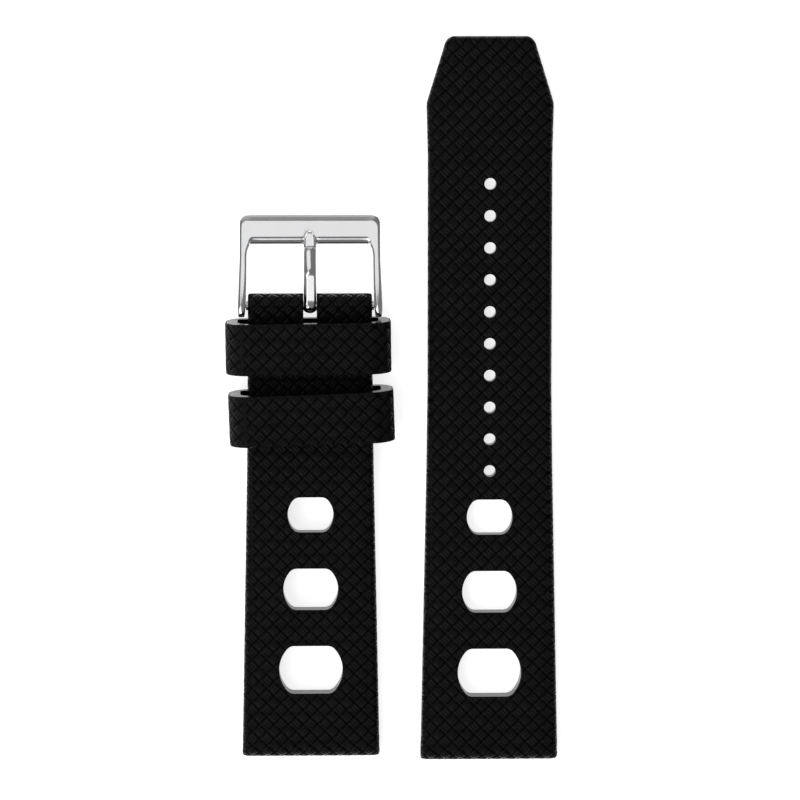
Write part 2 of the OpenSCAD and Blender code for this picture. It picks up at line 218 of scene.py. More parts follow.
def carved(bm, cutter, operation="DIFFERENCE"):
    """One closed mesh cut by another, which are both used up."""
    made = []
    for part in (bm, cutter):
        mesh = bpy.data.meshes.new("blank")
        part.to_mesh(mesh)
        part.free()
        blank = bpy.data.objects.new("blank", mesh)
        scene.collection.objects.link(blank)
        made.append(blank)
    cut = made[0].modifiers.new("cut", "BOOLEAN")
    cut.operation = operation
    cut.solver = "MANIFOLD"
    cut.object = made[1]
    result = bmesh.new()
    result.from_object(made[0], bpy.context.evaluated_depsgraph_get())
    for blank in made:
        bpy.data.meshes.remove(blank.data)
    return result


def weave_line(distance, step):
    """Moves a grid line onto the groove, crest or valley that it stands for."""
    whole, line = divmod(round(distance / step), weave_steps)
    return (whole + weave_lines[line]) * weave_steps * step


def woven_sheet(x0, x1, y0, y1, step):
    """A flat grid turned by 45 degrees, in step with the weave, and trimmed to a rectangle."""
    bm = bmesh.new()
    half_steps = floor((x1 - x0 + y1 - y0) / sqrt(8) / step) + 2
    along = round((x0 + x1 + y0 + y1) / sqrt(8) / step) * step
    across = round((y0 + y1 - x0 - x1) / sqrt(8) / step) * step
    bmesh.ops.create_grid(
        bm, x_segments=2 * half_steps, y_segments=2 * half_steps, size=half_steps * step
    )
    bmesh.ops.translate(bm, vec=(along, across, 0), verts=bm.verts)
    for v in bm.verts:
        v.co = (weave_line(v.co.x, step), weave_line(v.co.y, step), 0)
    bmesh.ops.rotate(bm, matrix=Matrix.Rotation(pi / 4, 3, "Z"), verts=bm.verts)
    for point, outward in (
        ((x0, 0, 0), (-1, 0, 0)), ((x1, 0, 0), (1, 0, 0)),
        ((0, y0, 0), (0, -1, 0)), ((0, y1, 0), (0, 1, 0)),
    ):
        everything = bm.verts[:] + bm.edges[:] + bm.faces[:]
        bmesh.ops.bisect_plane(
            bm, geom=everything, dist=1e-5, plane_co=point, plane_no=outward, clear_outer=True
        )
    return bm


def weave_depth(x, y, step):
    """Depth of the weave below its crests: three ribs in a square, turned from square to square."""
    square = weave_steps * step
    along = (x + y) / sqrt(2) / square
    across = (y - x) / sqrt(2) / square
    turned = (floor(along) + floor(across)) % 2
    over, beside = along % 1, across % 1
    if turned:
        over, beside = beside, over
    first, second = weave_lines[1:3]
    rim = 1 - min(over, 1 - over, beside, 1 - beside) / first
    rib = 1 - abs(abs(over - 0.5) / (second - first) - 1)
    return max(0, square_groove * rim, rib_groove * rib if abs(over - 0.5) < 0.5 - first else 0)


def edge_drop(distance, radius):
    """How far a rounded edge falls away at a distance from its side."""
    inwards = min(max(radius - distance, 0), radius)
    return radius - sqrt(radius ** 2 - inwards ** 2)


def trimmed_sheet(outline, openings, high, step):
    """The woven sheet from the nose to high, still flat, cut to its outline and its openings."""
    reach = lug_half + sheet_margin
    bm = woven_sheet(-reach, reach, nose_line - sheet_margin, high + sheet_margin, step)
    rim = [e for e in bm.edges if e.is_boundary]
    skirt = bmesh.ops.extrude_edge_only(bm, edges=rim)["geom"]
    foot = [v for v in skirt if isinstance(v, bmesh.types.BMVert)]
    bmesh.ops.translate(bm, vec=(0, 0, -sheet_t), verts=foot)
    bmesh.ops.holes_fill(bm, edges=[e for e in bm.edges if e.is_boundary], sides=0)
    bmesh.ops.recalc_face_normals(bm, faces=bm.faces)
    bm = carved(bm, prism([outline], -2 * sheet_t, sheet_t), "INTERSECT")
    bm = carved(bm, prism(openings, -2 * sheet_t, sheet_t))
    below = [f for f in bm.faces if f.calc_center_median().z < -sheet_t / 1000]
    bmesh.ops.delete(bm, geom=below, context="FACES")
    bmesh.ops.remove_doubles(bm, verts=bm.verts, dist=merge_gap)
    return bm


def sides_and_openings(bm, closing):
    """Finds the nearest point of a flat sheet's border, apart from the closing lines."""
    border = [v.co.copy() for v in bm.verts if v.is_boundary]
    sides = [p for p in border if min(abs(p.y - line) for line in closing) > merge_gap]
    tree = KDTree(len(sides))
    for i, p in enumerate(sides):
        tree.insert(p, i)
    tree.balance()
    return tree


def back_and_walls(bm):
    """Gives a flat sheet a back, a sheet's thickness below it, and walls that are cut in height."""
    lowered = bmesh.ops.extrude_face_region(bm, geom=bm.faces[:], use_keep_orig=True)["geom"]
    back = [v for v in lowered if isinstance(v, bmesh.types.BMVert)]
    bmesh.ops.translate(bm, vec=(0, 0, -sheet_t), verts=back)
    walls = [e for e in bm.edges if abs(e.verts[0].co.z - e.verts[1].co.z) > sheet_t / 2]
    bmesh.ops.subdivide_edges(bm, edges=walls, cuts=wall_cuts, use_grid_fill=True)


def moulded_half(outline, openings, high, closing, profile):
    """A strap half: its sheet wrapped round the side view, with the weave sunk into the front.

    The sheet runs from the nose to high, and front and back meet on the closing lines.
    """
    step = weave_square / weave_steps
    bm = trimmed_sheet(outline, openings, high, step)
    tree = sides_and_openings(bm, closing)
    back_and_walls(bm)
    groove_shade_layer = bm.verts.layers.float.new("groove")
    weave = {}
    for v in bm.verts:
        p = v.co.copy()
        side, _, distance = tree.find((p.x, p.y, 0))
        inner = abs(side.x) < opening_reach and 0 < side.y < high - sheet_margin
        level = 1 + p.z / sheet_t
        ends = min(abs(p.y - line) for line in closing)
        fade = min(1, ends / closing_fade, distance / side_fade)
        weave[v] = fade * level ** 2 * weave_depth(p.x, p.y, step)
        # The weave's depth as a share is kept as the mask for painted shade in the grooves.
        v[groove_shade_layer] = weave[v] / square_groove
        front_drop = edge_drop(distance, opening_edge_r if inner else outer_edge_r)
        front_drop += crown * (p.x / lug_half) ** 4 * min(1, ends / crown_fade)
        back_drop = edge_drop(distance, back_edge_r)
        front = profile(p.y, front_drop, 1)
        rear = profile(p.y, back_drop, -1)
        y, z = rear.lerp(front, level)
        v.co = (p.x, y, z)
    bmesh.ops.recalc_face_normals(bm, faces=bm.faces)
    if bm.calc_volume(signed=True) < 0:
        bmesh.ops.reverse_faces(bm, faces=bm.faces)
    bm.normal_update()
    for v, depth in weave.items():
        v.co -= v.normal * depth
    bmesh.ops.remove_doubles(bm, verts=bm.verts, dist=merge_gap)
    return bm


def nose(y, drop, face):
    """Place in Y and Z on the round nose, for a point of the sheet that lies ahead of the bore."""
    turn = -y / lug_r
    return Vector((-sin(turn), face * cos(turn))) * (lug_r - drop)


def short_profile(y, drop, face):
    """Place on the buckle half's front (1) or back (-1) for a distance along the sheet."""
    if y < 0:
        return nose(y, drop, face)
    if y > pin.y:
        turn = (y - pin.y) / knuckle_r
        return Vector(pin.yz) + Vector((sin(turn), face * cos(turn))) * (knuckle_r - drop)
    front = lug_r + front_slope * min(y, knuckle_start)
    rear = back_slope * min(y, knuckle_start) - lug_r
    if y > knuckle_start:
        rise = (y - knuckle_start) / (pin.y - knuckle_start)
        front += rise * (pin.z + knuckle_r - front)
        rear += rise * (pin.z - knuckle_r - rear)
    return Vector((y, front - drop if face > 0 else rear + drop))


def finished(bm, name, materials, body, nodes, crease, smooth_part=None):
    """Scales a mesh to metres and makes it a named piece that stands for its CAD nodes.

    Edges sharper than the crease show as edges, and the smooth part takes the second material.
    """
    for edge in bm.edges:
        edge.smooth = edge.calc_face_angle(0) < radians(crease)
    for face in bm.faces:
        face.smooth = True
        face.material_index = 1 if smooth_part and smooth_part(face) else 0
    bmesh.ops.scale(bm, vec=(millimetre, millimetre, millimetre), verts=bm.verts)
    mesh = bpy.data.meshes.new(name)
    bm.to_mesh(mesh)
    bm.free()
    for material in materials:
        mesh.materials.append(material)
    piece = bpy.data.objects.new(name, mesh)
    scene.collection.objects.link(piece)
    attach(piece, body)
    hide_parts(*nodes)


def off_the_front(face):
    """True for the back, the walls and the bores of a strap half."""
    return face.normal.z < front_tilt


short_outline = rounded(both_sides([
    (lug_half, nose_line, lug_corner_r),
    (taper_half, taper_y, 0),
    (buckle_end_half, knuckle_start, 0),
    (knuckle_half, knuckle_line, knuckle_corner_r),
]))
slot = arc(0, slot_end + slot_r, slot_r, 180, 360, 16)
slot += [(slot_r, knuckle_line + sheet_margin), (-slot_r, knuckle_line + sheet_margin)]
vent_outlines = [vent_outline(*vent) for vent in vents]
short = moulded_half(
    short_outline, vent_outlines + [slot], knuckle_line, (nose_line, knuckle_line), short_profile
)
short = carved(short, rod((0, 0, 0), lug_bore_r, 3 * lug_half))
short = carved(short, rod(pin, knuckle_bore_r, 3 * lug_half))
finished(short, "short_strap_woven", (woven_silicone, smooth_silicone), "short_half",
         ["short_strap"], weave_crease, off_the_front)


# Tail half of the strap.
# The same silicone and weave, moulded thinner and flat on its back, with three vent holes, ten
# adjustment holes, slightly flared shoulders and a slanted tip with a flat end.
tail_place = Vector((28.5, -0.7, 0))
tail_line = 113.5           # length of the front, from the bore to the tip
tail_t = 2.4
tail_start = 58
tip_thin = 0.3              # how much thinner the tip gets towards its end
tail_half = 9.85
flare_start = 95
shoulder_y = 103
shoulder_half = 10.05
shoulder_r = 4
tip_half = 6.8
tip_corner_r = 1.6
hole_r = 0.93
hole_pitch = 5.07
hole_count = 10
first_hole_y = 90.3


def tail_profile(y, drop, face):
    """Place on the tail half's front (1) or back (-1) for a distance along the sheet."""
    if y < 0:
        return nose(y, drop, face)
    front = lug_r + (tail_t - 2 * lug_r) * min(1, y / tail_start)
    front -= tip_thin * max(0, (y - shoulder_y) / (tail_line - shoulder_y)) ** 2
    return Vector((y, front - drop if face > 0 else drop - lug_r))


tail_outline = rounded(both_sides([
    (lug_half, nose_line, lug_corner_r),
    (taper_half, taper_y, 0),
    (tail_half, tail_start, 0),
    (tail_half, flare_start, 0),
    (shoulder_half, shoulder_y, shoulder_r),
    (tip_half, tail_line, tip_corner_r),
]))
hole_outlines = [
    arc(0, first_hole_y - i * hole_pitch, hole_r, 0, 345, 23) for i in range(hole_count)
]
tail = moulded_half(
    tail_outline, vent_outlines + hole_outlines, tail_line, (nose_line,), tail_profile
)
tail = carved(tail, rod((0, 0, 0), lug_bore_r, 3 * lug_half))
bmesh.ops.translate(tail, vec=tail_place, verts=tail.verts)
finished(tail, "tail_strap_woven", (woven_silicone, smooth_silicone), "long_half",
         ["long_strap"], weave_crease, off_the_front)


# Keepers.
# Two loops of the same silicone that hold the tail down, woven outside and smooth inside. They
# were slid over the strap by hand, so neither lies quite straight, and their tops have a soft bow.
keeper_len = 8.1
keeper_half = 13.05
keeper_h = 9.3
keeper_outer_r = 3.2
keeper_inner_half = 11.1
keeper_inner_low = 1.7
keeper_inner_high = 7.6
keeper_inner_r = 2.2
keeper_foot_r = 0.5
keeper_edge_r = 0.25
keeper_edge_weave = 0.3     # share of the weave's depth that's left at a keeper's ends
keeper_end_tilt = 0.8       # faces whose normal points this much along the strap are its ends
keeper_bow = 0.6            # how far the top's ends lie below its middle
keeper_squares = 28         # squares of the weave, corner to corner, round the loop
keepers = (                 # distance along the strap, shift and turn
    ("keeper_fixed", 64.4, -0.28, 0.7),
    ("keeper_free", 53.3, 0.2, 2),
)
keeper_flat = keeper_half - keeper_outer_r
keeper_side = keeper_h - 2 * keeper_outer_r
keeper_bend = pi / 2 * keeper_outer_r
keeper_round = 4 * (keeper_flat + keeper_bend) + 2 * keeper_side


def keeper_walk(distance):
    """Place and outward direction, in X and Z, at a distance round from under a keeper's middle."""
    place = Vector((0, 0))
    heading = 0
    bends = ((keeper_side, keeper_bend), (2 * keeper_flat, keeper_bend))
    for straight, bend in ((keeper_flat, keeper_bend), *bends, *bends, (keeper_flat, 0)):
        run = min(distance, straight)
        place += run * Vector((cos(heading), sin(heading)))
        run = min(distance - run, bend)
        turn = run / keeper_outer_r
        centre = place + keeper_outer_r * Vector((-sin(heading), cos(heading)))
        heading += turn
        place = centre + keeper_outer_r * Vector((sin(heading), -cos(heading)))
        distance -= straight + bend
        if distance <= 0:
            break
    return place, Vector((sin(heading), -cos(heading)))


def keeper_loop():
    """A woven strip bent round to a loop, closed at its ends and opened by its bore."""
    step = keeper_round / keeper_squares / sqrt(2) / weave_steps
    bm = woven_sheet(0, keeper_round, -keeper_len / 2, keeper_len / 2, step)
    groove_shade_layer = bm.verts.layers.float.new("groove")
    for v in bm.verts:
        along, y = v.co.x, v.co.y
        edge = edge_drop(keeper_len / 2 - abs(y), keeper_edge_r)
        fade = min(1, (keeper_len / 2 - abs(y)) / keeper_edge_r + keeper_edge_weave)
        depth = fade * weave_depth(along, y, step)
        place, outward = keeper_walk(along)
        place -= outward * (edge + depth)
        place.y -= keeper_bow * (place.x / keeper_half) ** 4 * max(0, 2 * place.y / keeper_h - 1)
        v.co = (place.x, y + keeper_len / 2, place.y)
        # The weave's depth as a share is kept as the mask for painted shade in the grooves.
        v[groove_shade_layer] = depth / square_groove
    bmesh.ops.remove_doubles(bm, verts=bm.verts, dist=merge_gap)
    bmesh.ops.holes_fill(bm, edges=[e for e in bm.edges if e.is_boundary], sides=0)
    bmesh.ops.recalc_face_normals(bm, faces=bm.faces)
    bore = prism([rounded(both_sides([
        (keeper_inner_half, keeper_inner_low, keeper_foot_r),
        (keeper_inner_half, keeper_inner_high, keeper_inner_r),
    ]))], -2 * keeper_len, keeper_len)
    bmesh.ops.rotate(bore, matrix=Matrix.Rotation(pi / 2, 3, "X"), verts=bore.verts)
    return carved(bm, bore)


def ends_and_bore(middle):
    """A test that's true for the end faces and the inside of a keeper round the given middle."""
    def is_smooth(face):
        outward = face.calc_center_median() - middle
        return abs(face.normal.y) > keeper_end_tilt or outward.dot(face.normal) < 0

    return is_smooth


for node_name, y, shift, turned in keepers:
    loop = keeper_loop()
    bmesh.ops.rotate(loop, matrix=Matrix.Rotation(atan(back_slope), 3, "X"), verts=loop.verts)
    bmesh.ops.translate(loop, vec=(0, -keeper_len / 2, 0), verts=loop.verts)
    bmesh.ops.rotate(loop, matrix=Matrix.Rotation(radians(turned), 3, "Z"), verts=loop.verts)
    bmesh.ops.translate(loop, vec=(shift, y, -lug_r), verts=loop.verts)
    middle = Vector((shift, y, keeper_h / 2 - lug_r))
    finished(loop, node_name + "_woven", (woven_silicone, smooth_silicone), node_name, [node_name],
             weave_crease, ends_and_bore(middle))


# Buckle frame.
# A stainless steel casting, ground and polished bright: a sloping bar with a dished rest for the
# tongue, and two legs that turn to round-ended blades, drilled for the spring bar's plungers.
leg_inner = 10.18
leg_inner_far = 9.95        # the legs are thicker where they leave the bar
leg_outer = 11.4
bar_outer = 11.1
leg_end_r = 1.8
leg_end_fullness = 5        # 2 would be round in the side view, and more is squarer
leg_end_narrow = 0.4        # the leg's end gets this much narrower on each side
leg_end_turns = (12, 24, 36, 48, 58, 66, 73, 79, 84, 88)    # stations round it, in degrees
leg_steps = 14
bar_near = 80.2
bar_mid = 82.65             # the legs' fall goes on to here, where the bar's straight slope starts
bar_far = 84.8
bar_half_h = 0.988
bar_z = -0.4528             # height of the bar's middle there
bar_fall = 0.28675          # slope of the bar's top, down towards the far side
bar_places = (0, 0.2, 0.4, 0.6, 0.8, 1, 1.25, 1.6, 2.2, 3, 4, 5, 6, 7, 8)  # close in the dish
leg_bow = 1.478             # power of the legs' fall in the side view, where 1 would be straight
plunger_hole_r = 0.45
plunger_hole_x = 11.13      # the holes end this far from the middle, inside the legs
frame_corner_r = 1.3
frame_inner_width = 1       # the opening's far corners are rounded over this width
frame_inner_len = 2.2       # and this length
corner_steps = 18
rest_r = 3
rest_depth = 0.2
rest_fade = 2               # the dished rest runs out this far from the bar's near side
arc_points = 8              # points round each of a section's four corners
flat_shares = (0.05, 0.35, 0.65, 0.95)      # points along its top and foot, between the corners
facet_start = 0.5           # share of the way round a ground edge where its flat facet starts
facet_end = 0.9             # and where it ends, at the side
side_drop = 0.06            # the side's first point lies this far below the facet's end
steel_crease = 40


def polished_metal(name, colour, smooth, rough, stretch):
    """Bright metal with a slightly uneven tone and hairlines that the stretch gives a direction."""
    material, tree, shader, node = wired(name)
    shader.inputs["Metallic"].default_value = 1
    place = node("TexCoord").outputs["Object"]
    turned = node("Mapping", [("Vector", place)], Scale=stretch)
    tone = node("TexNoise", [("Vector", place)], Scale=300, Detail=3)
    ramp = node("ValToRGB", [("Fac", tone.outputs["Fac"])])
    ramp.color_ramp.elements[0].color = (*[c * 0.95 for c in colour], 1)
    ramp.color_ramp.elements[1].color = (*colour, 1)
    tree.links.new(ramp.outputs["Color"], shader.inputs["Base Color"])
    hairlines = node("TexNoise", [("Vector", turned.outputs["Vector"])], Scale=1, Detail=4)
    gloss = node("MapRange", [("Value", hairlines.outputs["Fac"])])
    gloss.inputs["To Min"].default_value = smooth
    gloss.inputs["To Max"].default_value = rough
    tree.links.new(gloss.outputs["Result"], shader.inputs["Roughness"])
    bump = node("Bump", [("Height", hairlines.outputs["Fac"])], Strength=0.06, Distance=0.00001)
    tree.links.new(bump.outputs["Normal"], shader.inputs["Normal"])
    return material


polished_steel = polished_metal(
    "polished steel", (0.8, 0.8, 0.81), smooth=0.1, rough=0.18, stretch=(900, 9000, 9000)
)


def rounded_edge(radius):
    """An edge given as radius, and the facet, reach and slope that only a ground edge has."""
    return (radius, 0, 0, 0)


def ground_edge(facet, reach, slope):
    """A flat chamfer as wide as the facet that runs out in a curve to the reach."""
    return (0, facet, reach, slope)


def between(edges, others, share):
    """Edges part of the way from some to others of the same kinds."""
    return [[a + (b - a) * share for a, b in zip(*pair)] for pair in zip(edges, others)]


def slanted(edge, squareness):
    """A chamfer for a section that meets the side at a slant, the same when seen squarely."""
    _, facet, reach, slope = edge
    return ground_edge(facet / squareness, reach / squareness, slope * squareness)


def edge_point(edge, step):
    """Distance in from the side, and drop, at a step from an edge's top (0) to its side (1)."""
    radius, facet, reach, slope = edge
    if radius > 0:
        turn = pi / 2 * step
        return radius * (1 - sin(turn)), radius * (1 - cos(turn))
    curve = reach - facet
    if step == 1:
        return 0, slope * (facet + curve / 2) + side_drop
    if step > facet_start:
        inwards = facet * (facet_end - step) / (facet_end - facet_start)
        return inwards, slope * (facet - inwards + curve / 2)
    share = step / facet_start
    return reach - curve * share, slope * curve / 2 * share ** 2


def section(width, edges):
    """Points (across, side, drop) round a section, from its inner side over its top and back below.

    The side is 1 for the top and -1 for the foot, and the drop is measured from there. The edges
    are those of the inner top, the outer top, the outer foot and the inner foot.
    """
    points = []
    for corner, edge in enumerate(edges):
        outer = corner in (1, 2)
        side = 1 if corner < 2 else -1
        run = []
        for i in range(arc_points):
            step = i / (arc_points - 1)
            across, drop = edge_point(edge, step if corner in (1, 3) else 1 - step)
            run.append((width - across if outer else across, side, drop))
        points += run
        if corner in (0, 2):
            start = run[-1][0]
            reach = edge_point(edges[corner + 1], 0)[0]
            end = width - reach if corner == 0 else reach
            points += [(start + share * (end - start), side, 0) for share in flat_shares]
    return points


def lofted(stations, place):
    """Rings of points placed one by one, each bridged to the next, and closed at both ends."""
    bm = bmesh.new()
    rings = []
    for station in stations:
        points = place(station)
        ring = bmesh.ops.create_circle(bm, segments=len(points), radius=1)["verts"]
        for v, point in zip(ring, points):
            v.co = point
        rings.append(list({e for v in ring for e in v.link_edges}))
    for ring, following in zip(rings, rings[1:]):
        bmesh.ops.bridge_loops(bm, edges=ring + following)
    bmesh.ops.contextual_create(bm, geom=rings[0])
    bmesh.ops.contextual_create(bm, geom=rings[-1])
    return bm


def bar_top(y):
    """Height of the bar's top, apart from its dish."""
    return bar_z + bar_half_h - bar_fall * (y - bar_mid)


def frame_levels(x, y):
    """Heights of the frame's top and foot at a place seen from above."""
    if y <= pin.y:
        reach = min(1, (pin.y - y) / leg_end_r)
        rise = leg_end_r * (1 - reach ** leg_end_fullness) ** (1 / leg_end_fullness)
        return pin.z + rise, pin.z - rise
    if y >= bar_mid:
        top = bar_top(y)
        foot = top - 2 * bar_half_h
    else:
        share = (y - pin.y) / (bar_mid - pin.y)
        middle = pin.z - (pin.z - bar_z) * share ** leg_bow
        thick = bar_half_h + (leg_end_r - bar_half_h) * (1 - share) ** 2
        top, foot = middle + thick, middle - thick
    if y > bar_near and abs(x) < rest_r:
        dish = sqrt(rest_r ** 2 - x ** 2) - (rest_r - rest_depth)
        top -= max(0, dish) * max(0, 1 - (y - bar_near) / rest_fade) ** 0.5
    return top, foot


# The frame is built up of upright sections. A station is a section's inner and outer place, seen
# from above, and its edges. They go from the bar's middle round the corner and along the leg.
feet = (rounded_edge(0.4), rounded_edge(0.4))
bar_edges = (ground_edge(0.6, 1.2, 0.8), ground_edge(0.95, 1.2, 0.53), *feet)
corner_edges = (ground_edge(0.4, 0.6, 0.75), ground_edge(0.3, 0.4, 0.75), *feet)
leg_edges = (ground_edge(0.24, 0.32, 0.7), ground_edge(0.28, 0.36, 0.7), *feet)
blade_edges = (ground_edge(0.2, 0.55, 0.75), ground_edge(0.22, 0.6, 0.75), *feet)
corner_x = leg_inner_far - frame_inner_width
corner_y = bar_near - frame_inner_len


def bar_stations():
    """Stations along half the bar."""
    for x in (*bar_places, corner_x):
        yield Vector((x, bar_near)), Vector((x, bar_far)), bar_edges


def corner_stations():
    """Stations that fan out round the corner, evenly spaced along the frame's outer side."""
    straight = bar_outer - frame_corner_r - corner_x
    bend = frame_corner_r * pi / 2
    side = bar_far - frame_corner_r - corner_y
    for i in range(1, corner_steps + 1):
        share = i / corner_steps
        at = share * pi / 2
        inner = Vector((corner_x + frame_inner_width * sin(at),
                        bar_near - frame_inner_len * (1 - cos(at))))
        run = share * (straight + bend + side)
        turn = min(max(0, (run - straight) / frame_corner_r), pi / 2)
        facing = Vector((sin(turn), cos(turn)))
        outer = Vector((bar_outer - frame_corner_r, bar_far - frame_corner_r))
        outer += frame_corner_r * facing
        outer.x -= max(0, straight - run)
        outer.y -= max(0, run - straight - bend)
        if run < straight + bend:
            edges = between(bar_edges, corner_edges, (run / (straight + bend)) ** 2)
        else:
            edges = between(corner_edges, leg_edges, (run - straight - bend) / side)
        edges[1] = slanted(edges[1], (outer - inner).normalized().dot(facing))
        yield inner, outer, edges


def leg_stations():
    """Stations along a leg, to the pin."""
    for i in range(1, leg_steps + 1):
        share = i / leg_steps
        y = corner_y + (pin.y - corner_y) * share
        inner_x = leg_inner_far + (leg_inner - leg_inner_far) * share ** 3
        outer_x = bar_outer + (leg_outer - bar_outer) * share
        edges = between(leg_edges, blade_edges, share ** 2)
        yield Vector((inner_x, y)), Vector((outer_x, y)), edges


def leg_end_stations():
    """Stations round a leg's end, which gets narrower, with smaller chamfers."""
    for turn in leg_end_turns:
        y = pin.y - leg_end_r * sin(radians(turn))
        narrow = leg_end_narrow * (1 - cos(radians(turn)) ** 0.5)
        width = leg_outer - leg_inner - 2 * narrow
        end_edge = ground_edge(0.2 * width, 0.45 * width, 0.75)
        edges = between(blade_edges, (end_edge, end_edge, *feet), turn / 90)
        yield Vector((leg_inner + narrow, y)), Vector((leg_outer - narrow, y)), edges


def frame_ring(station):
    """Points round the frame's section at a station."""
    inner, outer, edges = station
    along = outer - inner
    points = []
    for across, side, drop in section(along.length, edges):
        x, y = inner + along.normalized() * across
        top, foot = frame_levels(x, y)
        points.append((x, y, top - drop if side > 0 else max(foot + drop, -lug_r)))
    return points


buckle = lofted(
    [*bar_stations(), *corner_stations(), *leg_stations(), *leg_end_stations()], frame_ring
)
end_face = [f for f in buckle.faces if max(abs(v.co.x) for v in f.verts) < merge_gap]
bmesh.ops.delete(buckle, geom=end_face, context="FACES_ONLY")
bmesh.ops.mirror(buckle, geom=buckle.verts[:] + buckle.edges[:] + buckle.faces[:],
                 merge_dist=merge_gap, axis="X")
bmesh.ops.remove_doubles(buckle, verts=buckle.verts, dist=merge_gap)
bmesh.ops.recalc_face_normals(buckle, faces=buckle.faces)
hole_start = leg_inner - 1
for side in (-1, 1):
    centre = (side * (hole_start + plunger_hole_x) / 2, *pin.yz)
    buckle = carved(buckle, rod(centre, plunger_hole_r, plunger_hole_x - hole_start))

finished(buckle, "buckle_frame_polished", (polished_steel,), "buckle_frame", ["buckle_frame"],
         steel_crease)


# Buckle tongue.
# A flat steel blank, thinned and rolled round the spring bar's tube, arched over the strap and
# polished, with a ground facet on its neck and a shield-shaped one at its tip.
tongue_half = 0.98
tongue_t = 1                # thickness at the arch
tongue_foot_r = 0.1
arch_y = 75.6
arch_z = 3.935              # height of the arch's top
neck_start = 0.25           # the neck begins this far behind the arch's top
neck_drop = 0.06            # and this far below it
neck_turn = 62              # and it meets the loop at this turn, in degrees up from level
neck_steps = 7
loop_t = 0.45
loop_mid_r = 1.025
loop_turns = [neck_turn + 8 + 13.4 * i for i in range(1, 21)]      # in degrees
shaft_t = 0.9               # thickness where the shaft bends to the tip
shaft_steps = 10
shaft_end = 0.3             # the shaft ends this far before the arch's top
bend_y = 79.6
bend_rise = 0.6             # of the shaft's middle over the bar there
tip_y = 82.35
tip_len = 2.1               # length over which the tip rounds off, seen from above
tip_half_width = 1
tip_facet_len = 2.5
tip_t = 0.84
tip_end_t = 0.1
tip_step = 0.16             # the metal is this much thinner behind the tip's facet
tip_gap = 0.05              # room between the tip and the bar
tip_slope = -0.33675        # a little steeper than the bar
tip_places = (0.03, 0.1, 0.2, 0.35, 0.6, 0.9, 1.3, 1.8, 2.3, 2.45, 2.6)    # back from its end


# The tongue's stations are place and direction in the side view, thickness, half width and top
# edges. The direction is a slope, or round the loop a turn of more than 90 degrees.
def tip_stations():
    """Stations from the tip's end back to its facet's step."""
    for back in tip_places:
        y = tip_y - back
        roundness = sqrt(1 - (1 - min(1, back / tip_len)) ** 2)
        half = tip_half_width * roundness
        thick = tip_end_t + (tip_t - tip_end_t) * roundness
        if back > tip_facet_len:
            thick -= tip_step
        edge = ground_edge(0.32 * roundness, 0.36 * roundness, 0.45 + 0.35 * roundness)
        place = Vector((y, bar_top(y) + tip_gap + thick / 2))
        yield place, tip_slope, thick, half, (edge, edge)


def shaft_stations():
    """Stations from the bend behind the tip up to the arch."""
    edge = ground_edge(0.3, 0.96, 0.6)
    bend = Vector((bend_y, bar_top(bend_y) + bend_rise))
    rise = Vector((arch_y + shaft_end, arch_z - tongue_t / 2)) - bend
    for i in range(1, shaft_steps + 1):
        share = i / shaft_steps
        climb = 1.25 * share - 0.25 * share ** 5        # levels off towards the arch
        slope = rise.y / rise.x * 1.25 * (1 - share ** 4)
        place = bend + Vector((rise.x * share, rise.y * climb))
        thick = shaft_t + (tongue_t - shaft_t) * share
        yield place, slope, thick, tongue_half, (edge, edge)


def neck_stations():
    """Stations from behind the arch's top down to the loop, thinning to its sheet."""
    edges = (ground_edge(0.45, 0.52, 0.8), ground_edge(0.26, 0.34, 0.8))
    turn = radians(neck_turn)
    low = Vector(pin.yz) + (loop_mid_r + loop_t / 2) * Vector((cos(turn), sin(turn)))
    high = Vector((arch_y - neck_start, arch_z - neck_drop))
    slope = (low.y - high.y) / (low.x - high.x)
    for i in range(neck_steps + 1):
        share = i / neck_steps
        thick = tongue_t + (loop_t - tongue_t) * share ** 1.5
        place = high.lerp(low, share) - thick / 2 * Vector((-slope, 1)).normalized()
        yield place, slope, thick, tongue_half, edges


def loop_stations():
    """Stations round the spring bar's tube."""
    edge = ground_edge(0.05, 0.9, 0.85)
    for turn in map(radians, loop_turns):
        place = Vector(pin.yz) + loop_mid_r * Vector((cos(turn), sin(turn)))
        yield place, turn, loop_t, tongue_half, (edge, edge)


def tongue_ring(station):
    """Points round the tongue's section at a station, square to its direction."""
    place, direction, thick, half, edges = station
    if direction > pi / 2:
        up = Vector((cos(direction), sin(direction)))
    else:
        up = Vector((-direction, 1)).normalized()
    foot = rounded_edge(min(tongue_foot_r, thick / 4))
    points = []
    for across, side, drop in section(2 * half, (*edges, foot, foot)):
        y, z = place + up * side * (thick / 2 - drop)
        points.append((across - half, y, z))
    return points


tongue = lofted(
    [*tip_stations(), *shaft_stations(), *neck_stations(), *loop_stations()], tongue_ring
)
bmesh.ops.recalc_face_normals(tongue, faces=tongue.faces)
finished(tongue, "buckle_tongue_polished", (polished_steel,), "buckle_tongue", ["buckle_tongue"],
         steel_crease)


# The buckle's spring bar.
# A thin steel tube in the knuckle with a coil spring and two plungers, whose collars show beside
# the legs. It is only turned, so its steel is duller, and the CAD's solids already have its shape.
bar_steel = polished_metal(
    "turned steel", (0.55, 0.55, 0.56), smooth=0.18, rough=0.35, stretch=(12000, 500, 500)
)

for node_name in ("bar_tube", "bar_pin_left", "bar_pin_right", "bar_spring"):
    solid = bpy.data.objects[node_name]
    solid.data.materials.clear()
    solid.data.materials.append(bar_steel)


# The studio.
# A pale sheet to lie on, soft lamps at the left, at both ends and low behind the buckle, and a
# camera high over the strap. Everything here is in metres.
floor_half = 2
floor_z = -0.00205          # a hair below the strap's back
room_light = 0.3
room_mirrored = 0.2         # the room looks darker in the steel
lamp_aim = Vector((0.014, 0.055, 0))
camera_place = Vector((-0.0017, 0.1225, 0.592))
camera_aim = Vector((0.0143, 0.0551, -0.002))
scene.view_settings.view_transform = "Standard"


